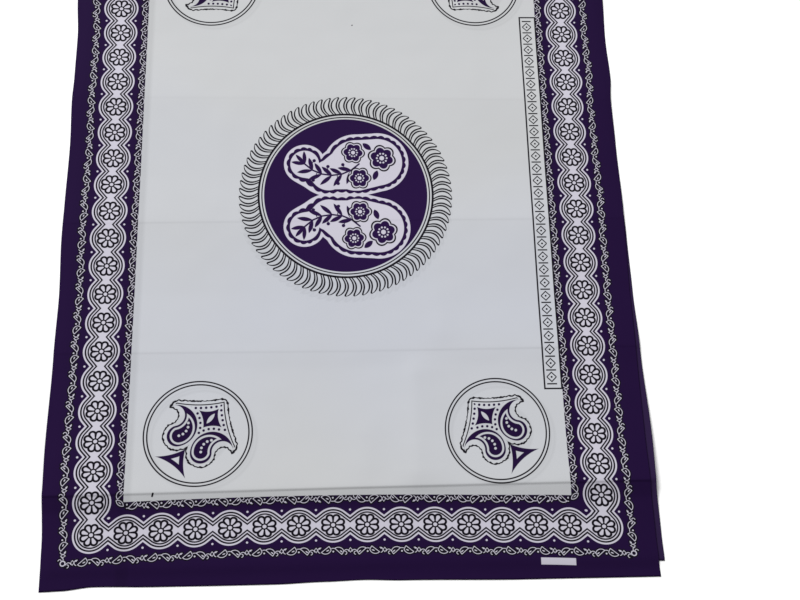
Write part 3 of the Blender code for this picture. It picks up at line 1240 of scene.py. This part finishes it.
finish_group(ghost_group, math_node("MULTIPLY_ADD", ghost, -1 / GHOST_BLUR, 0.5, clamp=True))

# %% The weave
THREAD = 0.45 * MM
weave_group, (place_in, pitch_in) = node_group(
    "plain weave", (("Place", VECTOR, None), ("Pitch", FLOAT, THREAD)), (("Height", FLOAT),)
)
weave_x, weave_y = parts_of(place_in)
turns_x = math_node("DIVIDE", weave_x, pitch_in) * pi
turns_y = math_node("DIVIDE", weave_y, pitch_in) * pi
weft = math_node("SINE", turns_x) * math_node("COSINE", turns_y)
finish_group(weave_group, abs(weft))

# %% Slow differences of tone, with painted shade at the near end and a painted cool cast
tone_and_painted_light_group, (place_in,) = node_group(
    "uneven tone and painted light", (("Place", VECTOR, None),), (("Tone and painted shade", FLOAT), ("Grain", FLOAT), ("Painted cool light and tint", FLOAT))
)
cloud = noise_at(place_in, 5.0, 2.0)
grain = noise_at(place_in, 900.0, 2.0, 0.7)
along_in = parts_of(place_in)[1]
# painted cool cast of the light: strongest a little nearer than the middle, made patchy by a random tint
painted_cool_light_band = 0.9 - abs(along_in + 0.25) * 2.0  # highest a little nearer than the middle
cool = math_node("ADD", painted_cool_light_band, noise_at(place_in, 2.3, 1.0) * 1.6 - 0.8, clamp=True)
# painted shade: the near end of each half is made darker
painted_near_shade = math_node("MULTIPLY_ADD", along_in, -2.5, -0.875, clamp=True)  # 1 at the near end
finish_group(tone_and_painted_light_group, cloud - 0.5 - painted_near_shade * 0.6, grain - 0.5, cool)

# %% [markdown]
# The inks soak into the cotton, so white, purple and black share one matt surface, with hardly any gloss
# and no sheen. The white ground is a cool pale grey, a little lavender between the inks, and the purple
# is a very dark one.

# %% The printed cotton
GROUND = (0.484, 0.492, 0.503)
# the ground where a cool cast of the light is painted
PAINTED_COOL_LIGHT_GROUND = (0.473, 0.488, 0.532)
TINTED_GROUND = (0.505, 0.488, 0.560)
DISC_PURPLE = 1.30  # how much brighter the purple of the disc is than that of the border
# the slow tone includes the painted shade at the near end
UNEVEN_AND_SHADE, GRAINY = 0.05, 0.06  # how much the slow tone and the fine grain change the brightness
PURPLE = (0.0126, 0.0036, 0.0324)
BLACK = (0.0054, 0.0040, 0.0081)


def mixed(mask, below, above):
    """Two colours mixed by a mask. A colour is an Amount or three numbers."""
    node = new_node("ShaderNodeMix", mask, data_type="RGBA")
    for socket, colour in ((node.inputs[6], below), (node.inputs[7], above)):
        wire(socket, colour if isinstance(colour, Amount) else (*colour, 1.0))
    return Amount(node.outputs[2])


def scaled(colour, factor):
    """A colour made lighter or darker by a factor."""
    node = new_node("ShaderNodeVectorMath", colour, operation="SCALE")
    wire(node.inputs["Scale"], factor)
    return Amount(node.outputs["Vector"])


def add_group(tree, group, **inputs):
    node = tree.nodes.new("ShaderNodeGroup")
    node.node_tree = group
    for name, value in inputs.items():
        wire(node.inputs[name], value)
    return {socket.name: Amount(socket) for socket in node.outputs}


def printed_cotton(name, purple, black, ghost_depth):
    """A material for one half of the pair."""
    material = bpy.data.materials.new(name)
    material.use_nodes = True
    tree = material.node_tree
    shader = tree.nodes["Principled BSDF"]
    where = tree.nodes.new("ShaderNodeUVMap")
    where.uv_map = "print"
    u, v = parts_of(Amount(where.outputs["UV"]))
    inks = add_group(tree, print_group, Across=u, Along=v)
    coordinates = tree.nodes.new("ShaderNodeTexCoord")
    place = Amount(coordinates.outputs["Object"])
    shade = add_group(tree, ghost_group, Across=u, Along=v)["Shade"]
    tone = add_group(tree, tone_and_painted_light_group, Place=place)
    # the ground turns cooler where the cool cast of the light is painted
    ground = mixed(inks["Tinted"], mixed(tone["Painted cool light and tint"], GROUND, PAINTED_COOL_LIGHT_GROUND), TINTED_GROUND)
    richer = tuple(channel * DISC_PURPLE for channel in purple)
    colour = mixed(inks["Purple"], ground, mixed(inks["Disc"], purple, richer))
    colour = mixed(inks["Black"], colour, black)
    # the brightness carries the painted shade at the near end, as well as the random tone, grain and
    # show-through
    brightness_with_painted_shade = 1.0 + tone["Tone and painted shade"] * UNEVEN_AND_SHADE + tone["Grain"] * GRAINY - shade * ghost_depth
    wire(shader.inputs["Base Color"], scaled(colour, brightness_with_painted_shade))
    wire(shader.inputs["Roughness"], tone["Grain"] * 0.10 + 0.85)
    shader.inputs["Specular IOR Level"].default_value = 0.05
    weave = add_group(tree, weave_group, Place=place)["Height"]
    bump = tree.nodes.new("ShaderNodeBump")
    bump.inputs["Strength"].default_value = 0.25
    bump.inputs["Distance"].default_value = 0.08 * MM
    wire(bump.inputs["Height"], weave + tone["Grain"] * 0.8)
    wire(shader.inputs["Normal"], Amount(bump.outputs["Normal"]))
    print(f"material {name}: {len(tree.nodes)} nodes")
    return material


upper.data.materials.append(printed_cotton("printed cotton, right side", PURPLE, BLACK, 0.11))
WRONG_PURPLE = (0.023, 0.0115, 0.046)
WRONG_BLACK = (0.014, 0.0115, 0.020)
under.data.materials.append(printed_cotton("printed cotton, wrong side", WRONG_PURPLE, WRONG_BLACK, 0.0))

# %% [markdown]
# Each half has the flat size of one kanga. Uncut, the pair is one piece of cotton of twice that length.
# Under them lies the table top, a large flat square just below the cloth.

TABLE_SIZE = 40.0
TABLE_LEVEL = -0.1 * MM  # just below the cloth
floor_grid = bmesh.new()
bmesh.ops.create_grid(floor_grid, x_segments=6, y_segments=6, size=TABLE_SIZE / 2)
bmesh.ops.translate(floor_grid, vec=(0.0, 0.0, TABLE_LEVEL), verts=floor_grid.verts[:])
floor_mesh = bpy.data.meshes.new("table_top")
floor_grid.to_mesh(floor_mesh)
floor_grid.free()
table_top = bpy.data.objects.new("table_top", floor_mesh)
bpy.context.scene.collection.objects.link(table_top)

# %% [markdown]
# ## Table, light and camera
#
# The cloth lies on a plain white table. A big soft light stands low at the far side, so the near flank
# of each crease is a little darker, and an even light from all round fills the rest. The camera looks
# almost straight down, from the near side.

# %% The table
table_paint = bpy.data.materials.new("white table")
table_paint.use_nodes = True
table_tree = table_paint.node_tree
table_shader = table_tree.nodes["Principled BSDF"]
table_place = Amount(table_tree.nodes.new("ShaderNodeTexCoord").outputs["Object"])
wire(table_shader.inputs["Roughness"], noise_at(table_place, 3.0) * 0.1 + 0.75)
table_shader.inputs["Base Color"].default_value = (0.97, 0.97, 0.97, 1.0)
table_top.data.materials.append(table_paint)

# %% Light
world = bpy.data.worlds.new("soft room")
world.use_nodes = True
world.node_tree.nodes["Background"].inputs["Color"].default_value = (1.0, 1.0, 1.0, 1.0)
world.node_tree.nodes["Background"].inputs["Strength"].default_value = 0.53
bpy.context.scene.world = world


def area_light(name, place, aim, size, power):
    data = bpy.data.lights.new(name, "AREA")
    data.shape = "RECTANGLE"
    data.size, data.size_y = size
    data.energy = power
    lamp = bpy.data.objects.new(name, data)
    lamp.location = place
    lamp.rotation_euler = (Vector(aim) - Vector(place)).to_track_quat("-Z", "Y").to_euler()
    bpy.context.scene.collection.objects.link(lamp)
    return lamp


area_light("far window", (-5.4, 11.5, 6.6), (0.0, 0.0, 0.0), (6.4, 3.8), 3100.0)
bpy.context.scene.view_settings.view_transform = "Standard"

# %% Camera
camera_data = bpy.data.cameras.new("overhead")
camera_data.lens = 50.75
camera_data.sensor_width = 36.0
camera = bpy.data.objects.new("overhead", camera_data)
camera.location = (-0.0260, -0.9034, 2.061)
camera.rotation_euler = Euler((radians(18.53), radians(-2.82), radians(-1.52)), "XYZ")
bpy.context.scene.collection.objects.link(camera)
bpy.context.scene.camera = camera
